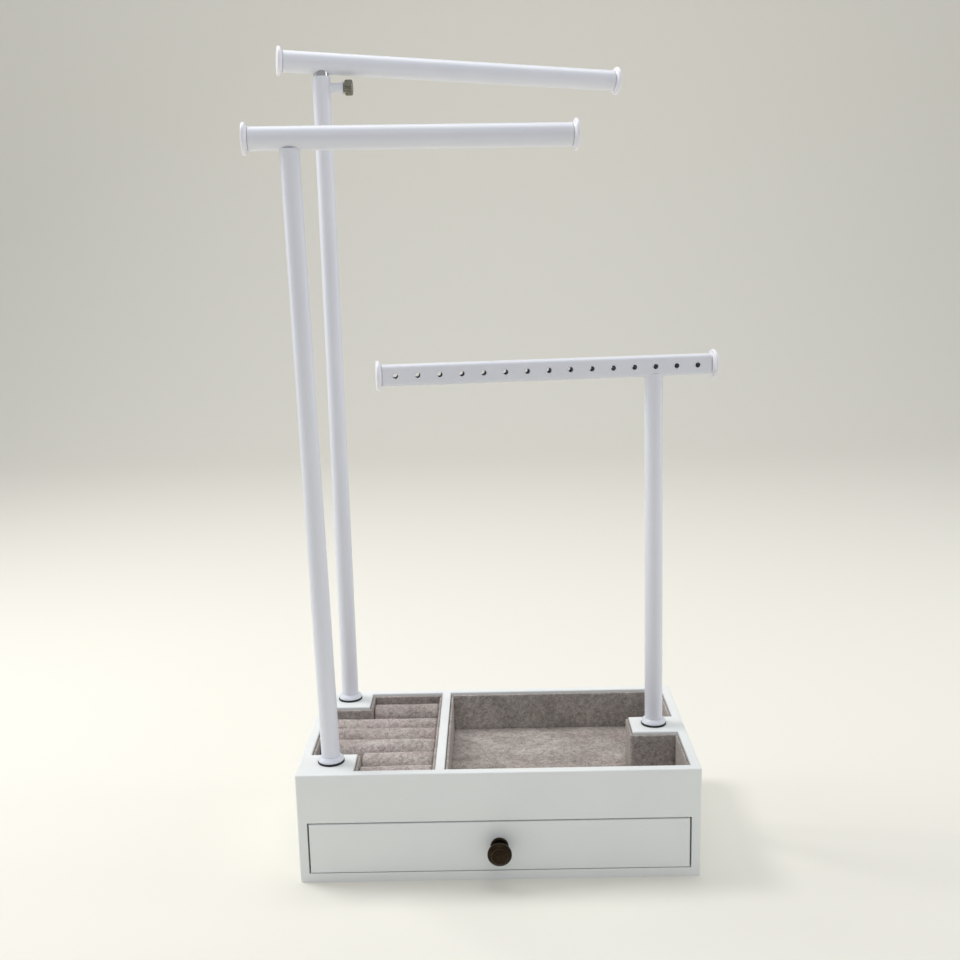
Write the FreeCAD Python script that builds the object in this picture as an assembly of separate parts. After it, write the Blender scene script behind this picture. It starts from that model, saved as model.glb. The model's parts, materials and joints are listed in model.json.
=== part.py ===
"""Tabletop jewellery stand: a lined wooden box with a drawer, and three T-bar posts.

Millimetres. +X is to the right, +Y to the back, +Z up. The origin is the centre of the
box's footprint, on the surface that the stand rests on.
"""
import FreeCAD
import Part
import math
import os

from FreeCAD import Vector

# ---- box -------------------------------------------------------------------------------
box_width = 300.0
box_depth = 165.0
box_height = 86.0
panel = 7.0                  # thickness of the painted side, back and front panels
bottom_thickness = 7.0
outer_round = 1.2            # rounding of the box's upright and top outer edges
rim_chamfer = 0.6            # chamfer round the mouth of each compartment

# ---- tray ------------------------------------------------------------------------------
tray_depth = 33.0            # rim down to the velvet floor
tray_floor_thickness = 4.0
floor_pad = 1.2              # velvet-covered card on the tray floor
divider_centre = -43.2
divider_thickness = 7.0
lining_board = 2.0           # velvet-covered card that lines the walls
lining_gap = 0.4             # between a lining board and the wood behind it
lining_drop = 2.2            # top edge of the boards below the rim
corner_gap = 0.15            # each board's end, short of its mitre

# ---- post blocks -----------------------------------------------------------------------
block_width = 35.5
corner_block_depth = 29.0
right_block_depth = 30.0
post_side_inset = 24.0       # post axis to the box's left or right face
front_post_inset = 24.0      # front post axis to the box's front face
back_post_inset = 16.0       # back post axis to the box's back face
right_post_offset = 2.0      # earring post axis behind the middle of the box

# ---- ring rolls ------------------------------------------------------------------------
roll_count = 6
roll_height = 24.0
roll_lift = 5.0              # foam under the rolls, above the tray's velvet floor
roll_gap = 0.4               # between neighbouring rolls
roll_end_gap = 0.5           # between a roll's end and the lining

# ---- drawer ----------------------------------------------------------------------------
drawer_gap = 1.2             # reveal at the sides and top of the drawer front
drawer_foot_gap = 0.5        # reveal under it
drawer_front_thickness = 7.0
drawer_side_gap = 0.8        # each side of the drawer's box
drawer_side_thickness = 5.0
drawer_floor_thickness = 3.0
drawer_floor_rise = 2.0      # underside of the drawer's floor above its sides' lower edges
drawer_lift = 0.5            # running clearance over the bottom panel
drawer_head_gap = 4.0        # sides below the tray floor
drawer_back_gap = 1.5        # closed drawer to the back panel
drawer_pad = 1.2
drawer_round = 0.6

# ---- knob ------------------------------------------------------------------------------
knob_diameter = 18.0
knob_reach = 17.3            # drawer front to the top of the knob
knob_neck_diameter = 8.0
knob_crown = 4.0             # height of the domed face
knob_edge = 2.4              # thickness of the knob's edge
knob_edge_round = 1.2
knob_throat = 2.0            # height of the flare from the neck to the head
rosette_diameter = 13.6
rosette_thickness = 2.2
rosette_round = 0.8
knob_screw_diameter = 4.0
screw_head_diameter = 7.6
screw_head_height = 2.4

# ---- posts -----------------------------------------------------------------------------
post_diameter = 14.0
post_wall = 1.0
washer_diameter = 20.0
washer_thickness = 1.4
collar_diameter = 19.4
collar_height = 3.4
collar_edge = 1.2
collar_lip = 0.5             # width of the collar's flat top
turning_gap = 0.3            # between the washer and the post that turns above it
nest_gap = 0.05              # radial, between pieces fixed one inside the other
running_gap = 0.08           # radial, between a shaft and the hole it turns or slides in
stud_diameter = 8.0
stud_engagement = 24.0       # length of the stud inside the block
stud_plug_length = 16.0      # length of the stud inside the post
stud_flange = 1.0            # shoulder of the stud that the post stands on
insert_diameter = 12.0
insert_depth = 1.0           # insert's mouth below the block's top

# ---- front T-bar -----------------------------------------------------------------------
front_bar_height = 540.4     # bar axis above the table
front_bar_left = 31.6        # post axis to the outer face of the cap
front_bar_right = 199.4
front_bar_turn = 6.0         # degrees that the bar is turned about its post
front_post_lean = 0.9        # degrees that the post stands out of plumb, towards -X
front_post_lap = 1.5         # post's flat top above the bar's underside

# ---- back T-bar ------------------------------------------------------------------------
back_bar_height = 607.5
back_bar_left = 33.6
back_bar_right = 244.0
back_post_lean = 0.0
back_bar_turn = 14.0
back_bar_droop = 2.5         # degrees that the bar's long end hangs down
rod_wall = 1.0
rod_show = 1.8               # bare rod between the post and its bar
rod_engagement = 150.0       # rod inside the post when pushed home
boss_drop = 8.5              # clamp boss axis below the post's top
boss_diameter = 7.4
boss_length = 10.0
boss_flare_diameter = 9.6
boss_flare_length = 1.2
boss_bore_diameter = 5.0
thumb_diameter = 12.0
thumb_length = 6.0
thumb_neck_diameter = 6.6
thumb_neck_length = 0.8
thumb_round = 1.2
thumb_skin = 2.0             # metal left over the end of the screw's shank
thumb_grooves = 28
thumb_groove_radius = 0.45
thumb_tip_gap = 0.3          # screw's tip to the rod

# ---- earring T-bar ---------------------------------------------------------------------
earring_bar_height = 374.0
earring_bar_left = 209.8
earring_bar_right = 47.9
earring_bar_turn = 8.0
earring_post_lean = 0.35
earring_bar_face = 15.8      # height of the rectangular tube
earring_bar_depth = 12.6
earring_bar_corner = 3.0
earring_hole_diameter = 4.2
earring_hole_inset = 14.0    # outer face of the left cap to the first hole
earring_holes_left = 12      # holes left of the post axis
earring_holes_right = 2      # holes right of it, one more being on the axis
earring_post_lap = 2.4       # post's flat top above the bar's underside
earring_plug_gap = 0.3       # cap's plug, short of the first hole

# ---- round bars and caps ---------------------------------------------------------------
bar_diameter = 16.3
bar_wall = 1.2
cap_diameter = 22.0
cap_thickness = 2.8
cap_round = 1.1
cap_step = 1.1               # length of the cone behind the cap's disc
cap_groove = 0.5             # open groove between the cone and the bar's end
cap_flare = 1.0              # how much wider than the bar the cone starts
cap_plug_length = 8.0
cap_plug_wall = 1.4

# ---- worked out from the sizes above ---------------------------------------------------
half_width = box_width / 2
half_depth = box_depth / 2
inner_x = half_width - panel
inner_y = half_depth - panel
rim = box_height
velvet_floor = rim - tray_depth
roll_seat = velvet_floor + roll_lift
tray_floor_top = velvet_floor - floor_pad
tray_floor_under = tray_floor_top - tray_floor_thickness
lining_top = rim - lining_drop
lining_depth = lining_gap + lining_board
divider_left = divider_centre - divider_thickness / 2
divider_right = divider_centre + divider_thickness / 2
left_block_face = -inner_x + block_width
right_block_face = inner_x - block_width
front_block_face = -inner_y + corner_block_depth
back_block_face = inner_y - corner_block_depth
left_post_x = -half_width + post_side_inset
right_post_x = half_width - post_side_inset
front_post_y = -half_depth + front_post_inset
back_post_y = half_depth - back_post_inset
post_radius = post_diameter / 2
post_bore_radius = post_radius - post_wall
post_foot = rim + washer_thickness + turning_gap
bar_radius = bar_diameter / 2
rod_radius = post_bore_radius - running_gap
stud_radius = stud_diameter / 2
insert_radius = insert_diameter / 2
cap_shoulder = cap_thickness + cap_step
cap_grip = cap_shoulder + cap_groove
earring_hole_radius = earring_hole_diameter / 2
earring_hole_pitch = (earring_bar_left - earring_hole_inset) / earring_holes_left

same_place = 0.01            # two coordinates closer than this are one

X_AXIS = Vector(1, 0, 0)
Y_AXIS = Vector(0, 1, 0)
Z_AXIS = Vector(0, 0, 1)

# Floor outlines of the two compartments, anticlockwise from the front.
well_outline = [
    (left_block_face, -inner_y),
    (divider_left, -inner_y),
    (divider_left, inner_y),
    (left_block_face, inner_y),
    (left_block_face, back_block_face),
    (-inner_x, back_block_face),
    (-inner_x, front_block_face),
    (left_block_face, front_block_face),
]
tray_outline = [
    (divider_right, -inner_y),
    (inner_x, -inner_y),
    (inner_x, -right_block_depth / 2),
    (right_block_face, -right_block_depth / 2),
    (right_block_face, right_block_depth / 2),
    (inner_x, right_block_depth / 2),
    (inner_x, inner_y),
    (divider_right, inner_y),
]


# ---- shapes used more than once --------------------------------------------------------
def block(x0, x1, y0, y1, z0, z1):
    """A box between two corners."""
    return Part.makeBox(x1 - x0, y1 - y0, z1 - z0, Vector(x0, y0, z0))


def rod(radius, length, base, axis=Z_AXIS):
    """A plain cylinder from base along axis."""
    return Part.makeCylinder(radius, length, base, axis)


def oval_rod(width, height, length):
    """A cylinder along X from the origin, drawn out to an oval in Y."""
    stretch = FreeCAD.Matrix()
    stretch.scale(Vector(1, width / height, 1))
    return rod(height / 2, length, Vector(0, 0, 0), X_AXIS).transformGeometry(stretch)


def tube(outer_radius, inner_radius, length, base, axis=Z_AXIS):
    """A hollow cylinder from base along axis."""
    return rod(outer_radius, length, base, axis).cut(rod(inner_radius, length, base, axis))


def polygon(points, z):
    """A closed wire through (x, y) points at one height."""
    corners = [Vector(x, y, z) for x, y in points]
    return Part.makePolygon(corners + corners[:1])


def prism(points, z0, z1):
    """A solid with an (x, y) outline between two heights."""
    return Part.Face(polygon(points, z0)).extrude(Vector(0, 0, z1 - z0))


def inset(points, distance):
    """An anticlockwise outline of square corners, moved inwards by distance."""
    moved = []
    for i, (x, y) in enumerate(points):
        shift = Vector(x, y, 0)
        for a, b in ((i - 1, i), (i, (i + 1) % len(points))):
            edge = Vector(*points[b], 0) - Vector(*points[a], 0)
            edge.normalize()
            shift += Vector(-edge.y, edge.x, 0) * distance
        moved.append((shift.x, shift.y))
    return moved


def turned(profile):
    """A solid of revolution about Z from (radius, height) points and arcs.

    A point is (radius, height). An arc is (mid_radius, mid_height, end_radius, end_height).
    """
    edges = []
    start = Vector(profile[0][0], 0, profile[0][1])
    for step in profile[1:] + profile[:1]:
        end = Vector(step[-2], 0, step[-1])
        if len(step) == 4:
            edges.append(Part.Arc(start, Vector(step[0], 0, step[1]), end).toShape())
        else:
            edges.append(Part.LineSegment(start, end).toShape())
        start = end
    return Part.Face(Part.Wire(edges)).revolve(Vector(0, 0, 0), Z_AXIS, 360)


def arc_step(start, centre, end):
    """The turned() step of the short arc about centre from start to end."""
    radius = math.dist(start, centre)
    mid = ((start[0] + end[0]) / 2 - centre[0], (start[1] + end[1]) / 2 - centre[1])
    scale = radius / math.hypot(*mid)
    return (centre[0] + mid[0] * scale, centre[1] + mid[1] * scale, end[0], end[1])


def rounded_bar(depth, height, corner, length):
    """A rectangular bar with rounded corners along X, centred on the X axis from x = 0."""
    bar = block(0, length, -depth / 2, depth / 2, -height / 2, height / 2)
    long_edges = [edge for edge in bar.Edges if abs(edge.tangentAt(0).x) > 0.5]
    return bar.makeFillet(corner, long_edges)


def save(name, shape):
    """Write one node."""
    shape.removeSplitter().exportStep("parts/" + name + ".step")


# ---- box -------------------------------------------------------------------------------
def box_envelope():
    """The box's rounded outside, which every outer panel is trimmed to."""
    body = block(-half_width, half_width, -half_depth, half_depth, 0, rim)
    edges = []
    for edge in body.Edges:
        centre = edge.CenterOfMass
        on_side = abs(abs(centre.x) - half_width) < same_place
        on_end = abs(abs(centre.y) - half_depth) < same_place
        on_top = abs(centre.z - rim) < same_place
        if (on_side and on_end) or on_top:
            edges.append(edge)
    return body.makeFillet(outer_round, edges)


def rim_bevel(outline):
    """The chamfer that runs round a compartment's mouth, as a solid to cut away."""
    low = [Vector(x, y, rim - rim_chamfer) for x, y in outline]
    high = [Vector(x, y, rim) for x, y in inset(outline, -rim_chamfer)]
    rings = [low, high]
    for i in range(len(outline)):
        rings.append([low[i - 1], low[i], high[i], high[i - 1]])
    faces = [Part.Face(Part.makePolygon(ring + ring[:1])) for ring in rings]
    solid = Part.Solid(Part.Shell(faces))
    if solid.Volume < 0:
        solid.reverse()
    return solid


def make_box(stands):
    """The painted panels, the tray floor, the divider and a drilled block for each stand."""
    envelope = box_envelope()
    bevels = rim_bevel(well_outline).fuse(rim_bevel(tray_outline))
    panels = {
        "side_panel_left": block(-half_width, -inner_x, -half_depth, half_depth, 0, rim),
        "side_panel_right": block(inner_x, half_width, -half_depth, half_depth, 0, rim),
        "back_panel": block(-inner_x, inner_x, inner_y, half_depth, 0, rim),
        "front_rail": block(-inner_x, inner_x, -half_depth, -inner_y, tray_floor_under, rim),
        "bottom_panel": block(-inner_x, inner_x, -half_depth, inner_y, 0, bottom_thickness),
        "tray_divider": block(divider_left, divider_right, -inner_y, inner_y, tray_floor_top, rim),
    }
    for name, shape in panels.items():
        save(name, shape.common(envelope).cut(bevels))
    save("tray_floor", block(-inner_x, inner_x, -inner_y, inner_y, tray_floor_under, tray_floor_top))

    half_right = right_block_depth / 2
    blocks = {
        "front": block(-inner_x, left_block_face, -inner_y, front_block_face, tray_floor_top, rim),
        "back": block(-inner_x, left_block_face, back_block_face, inner_y, tray_floor_top, rim),
        "earring": block(right_block_face, inner_x, -half_right, half_right, tray_floor_top, rim),
    }
    for stand in stands:
        wood = blocks[stand.prefix].cut(stand.insert_hole()).cut(bevels)
        save(stand.prefix + "_post_block", wood)


def make_block_fittings(stands):
    """Threaded inserts sunk in the blocks, and the black washers on top of them."""
    save("threaded_inserts", Part.makeCompound([stand.insert() for stand in stands]))
    washers = []
    for stand in stands:
        top = Vector(stand.x, stand.y, rim)
        washers.append(tube(washer_diameter / 2, stud_radius + turning_gap, washer_thickness, top))
    save("post_washers", Part.makeCompound(washers))


# ---- linings ---------------------------------------------------------------------------
def lining(outline, first, last):
    """A lining board along edges first to last of a compartment, with mitred ends."""
    outer = inset(outline, lining_gap)
    inner = inset(outline, lining_depth)
    count = len(outline)
    run = [i % count for i in range(first, last + 2)]
    points = [outer[i] for i in run] + [inner[i] for i in reversed(run)]
    board = prism(points, tray_floor_top, lining_top)
    for at, along in ((run[0], run[1]), (run[-1], run[-2])):
        mitre = Vector(*inner[at], 0) - Vector(*outer[at], 0)
        inwards = Vector(*outer[along], 0) - Vector(*outer[at], 0)
        inwards.normalize()
        corners = [
            Vector(*outer[at], 0) - mitre,
            Vector(*inner[at], 0) + mitre,
            Vector(*inner[at], 0) + mitre + inwards * corner_gap,
            Vector(*outer[at], 0) - mitre + inwards * corner_gap,
        ]
        plan = [(corner.x, corner.y) for corner in corners]
        board = board.cut(prism(plan, tray_floor_top, lining_top))
    return board


def make_linings():
    """Floor pads of both compartments, and the wall boards that stand round them."""
    save("ring_well_pad", prism(inset(well_outline, lining_depth), tray_floor_top, roll_seat))
    save("tray_pad", prism(inset(tray_outline, lining_depth), tray_floor_top, velvet_floor))
    boards = {
        "well_lining_front": (well_outline, 0, 0),
        "well_lining_divider": (well_outline, 1, 1),
        "well_lining_back": (well_outline, 2, 2),
        "well_lining_back_block": (well_outline, 3, 4),
        "well_lining_left": (well_outline, 5, 5),
        "well_lining_front_block": (well_outline, 6, 7),
        "tray_lining_front": (tray_outline, 0, 0),
        "tray_lining_right_block": (tray_outline, 2, 4),
        "tray_lining_back": (tray_outline, 6, 6),
        "tray_lining_divider": (tray_outline, 7, 7),
    }
    for name, (outline, first, last) in boards.items():
        save(name, lining(outline, first, last))
    right_wall = [lining(tray_outline, edge, edge) for edge in (1, 5)]
    save("tray_lining_right", Part.makeCompound(right_wall))


def make_ring_rolls():
    """Padded rolls across the ring well. The ones beside a post block are short.

    The rolls behind the middle share the room up to the back block or the last roll.
    """
    front = -inner_y + lining_depth
    back = inner_y - lining_depth
    block_edge = back_block_face - lining_depth
    even_pitch = (back - front) / roll_count
    even_rolls = roll_count // 2
    shared_rolls = roll_count - even_rolls - 1
    middle = front + even_pitch * even_rolls
    shared_pitch = (min(block_edge, back - even_pitch) - middle) / shared_rolls
    places = [(front + even_pitch * (i + 0.5), even_pitch) for i in range(even_rolls)]
    places += [(middle + shared_pitch * (i + 0.5), shared_pitch) for i in range(shared_rolls)]
    places.append((back - even_pitch / 2, even_pitch))
    right = divider_left - lining_depth - roll_end_gap
    for i, (centre, pitch) in enumerate(places):
        width = pitch - roll_gap
        beside_block = centre - width / 2 < front_block_face + lining_depth or (
            centre + width / 2 > block_edge
        )
        wall = left_block_face if beside_block else -inner_x
        left = wall + lining_depth + roll_end_gap
        roll = oval_rod(width, roll_height, right - left)
        roll.translate(Vector(left, centre, roll_seat + roll_height / 2))
        save("ring_roll_" + str(i + 1), roll)


# ---- drawer ----------------------------------------------------------------------------
def make_drawer():
    """The drawer's five boards, its velvet pad, and the knob with its rosette and screw."""
    front_x = inner_x - drawer_gap
    front_low = bottom_thickness + drawer_foot_gap
    front_high = tray_floor_under - drawer_gap
    back_face = -half_depth + drawer_front_thickness
    outer_x = inner_x - drawer_side_gap
    side_x = outer_x - drawer_side_thickness
    low = bottom_thickness + drawer_lift
    high = tray_floor_under - drawer_head_gap
    end = inner_y - drawer_back_gap
    end_face = end - drawer_side_thickness
    floor_low = low + drawer_floor_rise
    floor_high = floor_low + drawer_floor_thickness
    knob_height = (front_low + front_high) / 2
    shank_radius = knob_screw_diameter / 2

    hole_start = Vector(0, back_face, knob_height)
    shank_hole = rod(shank_radius + nest_gap, drawer_front_thickness, hole_start, -Y_AXIS)
    face = block(-front_x, front_x, -half_depth, back_face, front_low, front_high)
    show_edges = [
        edge for edge in face.Edges if abs(edge.CenterOfMass.y + half_depth) < same_place
    ]
    save("drawer_front", face.makeFillet(drawer_round, show_edges).cut(shank_hole))
    save("drawer_side_left", block(-outer_x, -side_x, back_face, end, low, high))
    save("drawer_side_right", block(side_x, outer_x, back_face, end, low, high))
    save("drawer_back", block(-side_x, side_x, end_face, end, low, high))
    save("drawer_floor", block(-side_x, side_x, back_face, end_face, floor_low, floor_high))
    pad_high = floor_high + drawer_pad
    save("drawer_pad", block(-side_x, side_x, back_face, end_face, floor_high, pad_high))
    make_knob(knob_height)


def make_knob(height):
    """A round mushroom knob on a rosette, held by a screw from inside the drawer."""
    radius = knob_diameter / 2
    neck = knob_neck_diameter / 2
    edge_low = knob_reach - knob_crown - knob_edge
    edge_high = knob_reach - knob_crown
    throat_low = edge_low - knob_throat
    crown_radius = (radius ** 2 + knob_crown ** 2) / (2 * knob_crown)
    crown_height = knob_reach - crown_radius + math.sqrt(crown_radius ** 2 - (radius / 2) ** 2)
    shank_bore = knob_screw_diameter / 2 + nest_gap
    flat = radius - knob_edge_round
    bend = edge_low + knob_edge_round
    knob = turned([
        (0, rosette_thickness),
        (neck, rosette_thickness),
        (neck, throat_low),
        arc_step((neck, throat_low), (flat, throat_low - neck), (flat, edge_low)),
        arc_step((flat, edge_low), (flat, bend), (radius, bend)),
        (radius, edge_high),
        (radius / 2, crown_height, 0, knob_reach),
    ])
    knob = knob.cut(rod(shank_bore, edge_low, Vector(0, 0, 0)))
    half = rosette_diameter / 2
    top = half - rosette_round
    shelf = rosette_thickness - rosette_round
    rosette = turned([
        (shank_bore, 0),
        (half, 0),
        (half, shelf),
        arc_step((half, shelf), (top, shelf), (top, rosette_thickness)),
        (shank_bore, rosette_thickness),
    ])
    inside = Vector(0, 0, -drawer_front_thickness)
    screw = rod(knob_screw_diameter / 2, edge_low + drawer_front_thickness, inside)
    head = rod(screw_head_diameter / 2, screw_head_height, inside, -Z_AXIS)
    for name, shape in (("knob", knob), ("knob_rosette", rosette), ("knob_screw", screw.fuse(head))):
        shape.rotate(Vector(0, 0, 0), X_AXIS, 90)
        shape.translate(Vector(0, -half_depth, height))
        save(name, shape)


# ---- stands ----------------------------------------------------------------------------
class Stand:
    """Where a post stands, how far it leans, and how its bar is turned and tilted."""

    def __init__(self, prefix, x, y, bar_height, lean=0.0, turn=0.0, droop=0.0):
        """Keep the stand's place and angles, in millimetres and degrees."""
        self.prefix = prefix
        self.x = x
        self.y = y
        self.lean = lean
        self.turn = turn
        level = math.atan(math.cos(math.radians(turn)) * math.tan(math.radians(lean)))
        self.droop = droop + math.degrees(level)
        self.post_reach = (bar_height - rim) / math.cos(math.radians(lean))

    def on_post(self, shape):
        """Carry a shape from the post's own frame, whose origin is on the rim, to the box."""
        shape.rotate(Vector(0, 0, 0), Y_AXIS, -self.lean)
        shape.translate(Vector(self.x, self.y, rim))
        return shape

    def on_bar(self, shape):
        """Tilt and turn a shape made along X about the origin, then lift it to the bar."""
        shape.rotate(Vector(0, 0, 0), Y_AXIS, self.droop)
        shape.rotate(Vector(0, 0, 0), Z_AXIS, self.turn)
        shape.translate(Vector(0, 0, self.post_reach))
        return shape

    def save(self, name, shape):
        """Write a node that was made in the post's frame."""
        save(self.prefix + "_" + name, self.on_post(shape))

    def insert_hole(self):
        """The hole in the block for the threaded insert, with the stud's way in above it."""
        seat = rod(insert_radius + nest_gap, stud_engagement, Vector(0, 0, -insert_depth), -Z_AXIS)
        mouth = rod(stud_radius + turning_gap, 2 * insert_depth, Vector(0, 0, insert_depth), -Z_AXIS)
        return self.on_post(seat.fuse(mouth))

    def insert(self):
        """The threaded insert, as a plain bush that the stud turns in."""
        mouth = Vector(0, 0, -insert_depth)
        length = stud_engagement - insert_depth
        return self.on_post(tube(insert_radius, stud_radius + running_gap, length, mouth, -Z_AXIS))

    def make_foot(self):
        """The domed collar round the post's foot, and the stud that turns in the block."""
        foot = post_foot - rim
        bore = post_radius + nest_gap
        half = collar_diameter / 2
        crown = bore + collar_lip
        collar = turned([
            (bore, foot),
            (half, foot),
            (half, foot + collar_edge),
            arc_step((half, foot + collar_edge), (bore, foot), (crown, foot + collar_height)),
            (bore, foot + collar_height),
        ])
        self.save("collar", collar)
        plug = rod(post_bore_radius - nest_gap, stud_flange + stud_plug_length, Vector(0, 0, foot))
        flange = rod(post_radius, stud_flange, Vector(0, 0, foot))
        shank = rod(stud_radius, stud_engagement + foot, Vector(0, 0, foot), -Z_AXIS)
        self.save("stud", plug.fuse(flange).fuse(shank))

    def post_tube(self, top):
        """The post's tube, from the stud's shoulder up to a height above the rim."""
        low = post_foot - rim + stud_flange
        return tube(post_radius, post_bore_radius, top - low, Vector(0, 0, low))


def round_bar(left, right):
    """A round tube along X, less the caps at its ends."""
    length = left + right - 2 * cap_grip
    return tube(bar_radius, bar_radius - bar_wall, length, Vector(cap_grip - left, 0, 0), X_AXIS)


def end_cap(tube_radius, plug):
    """A cap whose disc's outer face is at x = 0 and whose plug points along +X."""
    half = cap_diameter / 2
    flat = half - cap_round
    back_bend = cap_thickness - cap_round
    disc = turned([
        (0, 0),
        (flat, 0),
        arc_step((flat, 0), (flat, cap_round), (half, cap_round)),
        (half, back_bend),
        arc_step((half, back_bend), (flat, back_bend), (flat, cap_thickness)),
        (tube_radius + cap_flare, cap_thickness),
        (tube_radius, cap_shoulder),
        (0, cap_shoulder),
    ])
    disc.rotate(Vector(0, 0, 0), Y_AXIS, 90)
    return disc.fuse(plug)


def cap_pair(left, right, tube_radius, plug):
    """The two caps of a bar that reaches from x = -left to x = right."""
    cap = end_cap(tube_radius, plug)
    far_cap = cap.copy()
    cap.translate(Vector(-left, 0, 0))
    far_cap.rotate(Vector(0, 0, 0), Z_AXIS, 180)
    far_cap.translate(Vector(right, 0, 0))
    return Part.makeCompound([cap, far_cap])


def round_plug():
    """The hollow plug that holds a cap in a round bar."""
    outer = bar_radius - bar_wall - nest_gap
    start = Vector(cap_shoulder, 0, 0)
    return tube(outer, outer - cap_plug_wall, cap_plug_length, start, X_AXIS)


def make_front_stand(stand):
    """A post whose flat top comes up a little round the T-bar that lies in it."""
    stand.make_foot()
    seat = rod(bar_radius, front_bar_left + front_bar_right, Vector(-front_bar_left, 0, 0), X_AXIS)
    post_top = stand.post_reach - bar_radius + front_post_lap
    stand.save("post", stand.post_tube(post_top).cut(stand.on_bar(seat)))
    stand.save("bar", stand.on_bar(round_bar(front_bar_left, front_bar_right)))
    caps = cap_pair(front_bar_left, front_bar_right, bar_radius, round_plug())
    stand.save("bar_caps", stand.on_bar(caps))


def make_back_stand(stand):
    """A tube with a clamp boss, and the bright rod inside it that carries the T-bar."""
    stand.make_foot()
    post_top = stand.post_reach - bar_radius - rod_show
    clamp = Vector(0, 0, post_top - boss_drop)
    boss_end = post_radius + boss_length
    bore = rod(boss_bore_diameter / 2 + running_gap, boss_end, clamp, X_AXIS)
    stand.save("post", stand.post_tube(post_top).cut(bore))

    barrel = rod(boss_diameter / 2, boss_end, clamp, X_AXIS)
    flare_start = clamp + Vector(boss_end - boss_flare_length, 0, 0)
    flare = rod(boss_flare_diameter / 2, boss_flare_length, flare_start, X_AXIS)
    post_room = rod(post_radius, 2 * boss_drop, clamp - Vector(0, 0, boss_drop))
    stand.save("clamp_boss", barrel.fuse(flare).cut(bore).cut(post_room))
    make_thumbscrew(stand, clamp, boss_end)

    rod_foot = Vector(0, 0, post_top - rod_engagement)
    inner_rod = tube(rod_radius, rod_radius - rod_wall, stand.post_reach - rod_foot.z, rod_foot)
    seat = rod(bar_radius, back_bar_left + back_bar_right, Vector(-back_bar_left, 0, 0), X_AXIS)
    stand.save("rod", inner_rod.cut(stand.on_bar(seat)))
    stand.save("bar", stand.on_bar(round_bar(back_bar_left, back_bar_right)))
    caps = cap_pair(back_bar_left, back_bar_right, bar_radius, round_plug())
    stand.save("bar_caps", stand.on_bar(caps))


def make_thumbscrew(stand, clamp, boss_end):
    """The clamp's screw: a plain shank, and a knurled head that turns on its end."""
    shank_radius = boss_bore_diameter / 2
    tip = rod_radius + thumb_tip_gap
    neck_face = boss_end + turning_gap
    head_face = neck_face + thumb_neck_length
    head_end = head_face + thumb_length
    shank_end = head_end - thumb_skin
    shank = rod(shank_radius, shank_end - tip, clamp + Vector(tip, 0, 0), X_AXIS)
    stand.save("thumbscrew_shank", shank)

    radius = thumb_diameter / 2
    flat = radius - thumb_round
    inner_bend = head_face + thumb_round
    outer_bend = head_end - thumb_round
    bore = shank_radius + running_gap
    plain_head = turned([
        (bore, neck_face),
        (thumb_neck_diameter / 2, neck_face),
        (thumb_neck_diameter / 2, head_face),
        (flat, head_face),
        arc_step((flat, head_face), (flat, inner_bend), (radius, inner_bend)),
        (radius, outer_bend),
        arc_step((radius, outer_bend), (flat, outer_bend), (flat, head_end)),
        (0, head_end),
        (0, shank_end + turning_gap),
        (bore, shank_end + turning_gap),
    ])
    grooves = []
    for i in range(thumb_grooves):
        angle = 2 * math.pi * i / thumb_grooves
        place = Vector(radius * math.cos(angle), radius * math.sin(angle), head_face)
        grooves.append(rod(thumb_groove_radius, thumb_length, place))
    head = plain_head.cut(Part.makeCompound(grooves))
    head.rotate(Vector(0, 0, 0), Y_AXIS, 90)
    head.translate(clamp)
    stand.save("thumbscrew_head", head)


def make_earring_stand(stand):
    """A post with a rectangular T-bar that is drilled through for ear hooks."""
    stand.make_foot()
    depth = earring_bar_depth
    height = earring_bar_face
    left = earring_bar_left
    right = earring_bar_right
    seat = rounded_bar(depth, height, earring_bar_corner, left + right)
    seat.translate(Vector(-left, 0, 0))
    post_top = stand.post_reach - height / 2 + earring_post_lap
    stand.save("post", stand.post_tube(post_top).cut(stand.on_bar(seat)))

    length = left + right - 2 * cap_grip
    twice = 2 * bar_wall
    bar = rounded_bar(depth, height, earring_bar_corner, length)
    hollow = rounded_bar(depth - twice, height - twice, earring_bar_corner - bar_wall, length)
    bar = bar.cut(hollow)
    bar.translate(Vector(cap_grip - left, 0, 0))
    holes = []
    for i in range(-earring_holes_left, earring_holes_right + 1):
        place = Vector(earring_hole_pitch * i, -depth, 0)
        holes.append(rod(earring_hole_radius, 2 * depth, place, Y_AXIS))
    stand.save("bar", stand.on_bar(bar.cut(Part.makeCompound(holes))))

    fit = 2 * (bar_wall + nest_gap)
    plug_corner = earring_bar_corner - fit / 2
    plug_length = earring_hole_inset - earring_hole_radius - cap_shoulder - earring_plug_gap
    plug = rounded_bar(depth - fit, height - fit, plug_corner, plug_length)
    room_y = (depth - fit) / 2 - cap_plug_wall
    room_z = (height - fit) / 2 - cap_plug_wall
    plug = plug.cut(block(0, plug_length, -room_y, room_y, -room_z, room_z))
    plug.translate(Vector(cap_shoulder, 0, 0))
    stand.save("bar_caps", stand.on_bar(cap_pair(left, right, height / 2, plug)))


def main():
    """Write every node."""
    os.makedirs("parts", exist_ok=True)
    front = Stand(
        "front", left_post_x, front_post_y, front_bar_height, front_post_lean, front_bar_turn,
    )
    back = Stand(
        "back", left_post_x, back_post_y, back_bar_height, back_post_lean, back_bar_turn,
        back_bar_droop,
    )
    earring = Stand(
        "earring", right_post_x, right_post_offset, earring_bar_height, earring_post_lean,
        earring_bar_turn,
    )
    stands = [front, back, earring]
    make_box(stands)
    make_block_fittings(stands)
    make_linings()
    make_ring_rolls()
    make_drawer()
    make_front_stand(front)
    make_back_stand(back)
    make_earring_stand(earring)


main()
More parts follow.
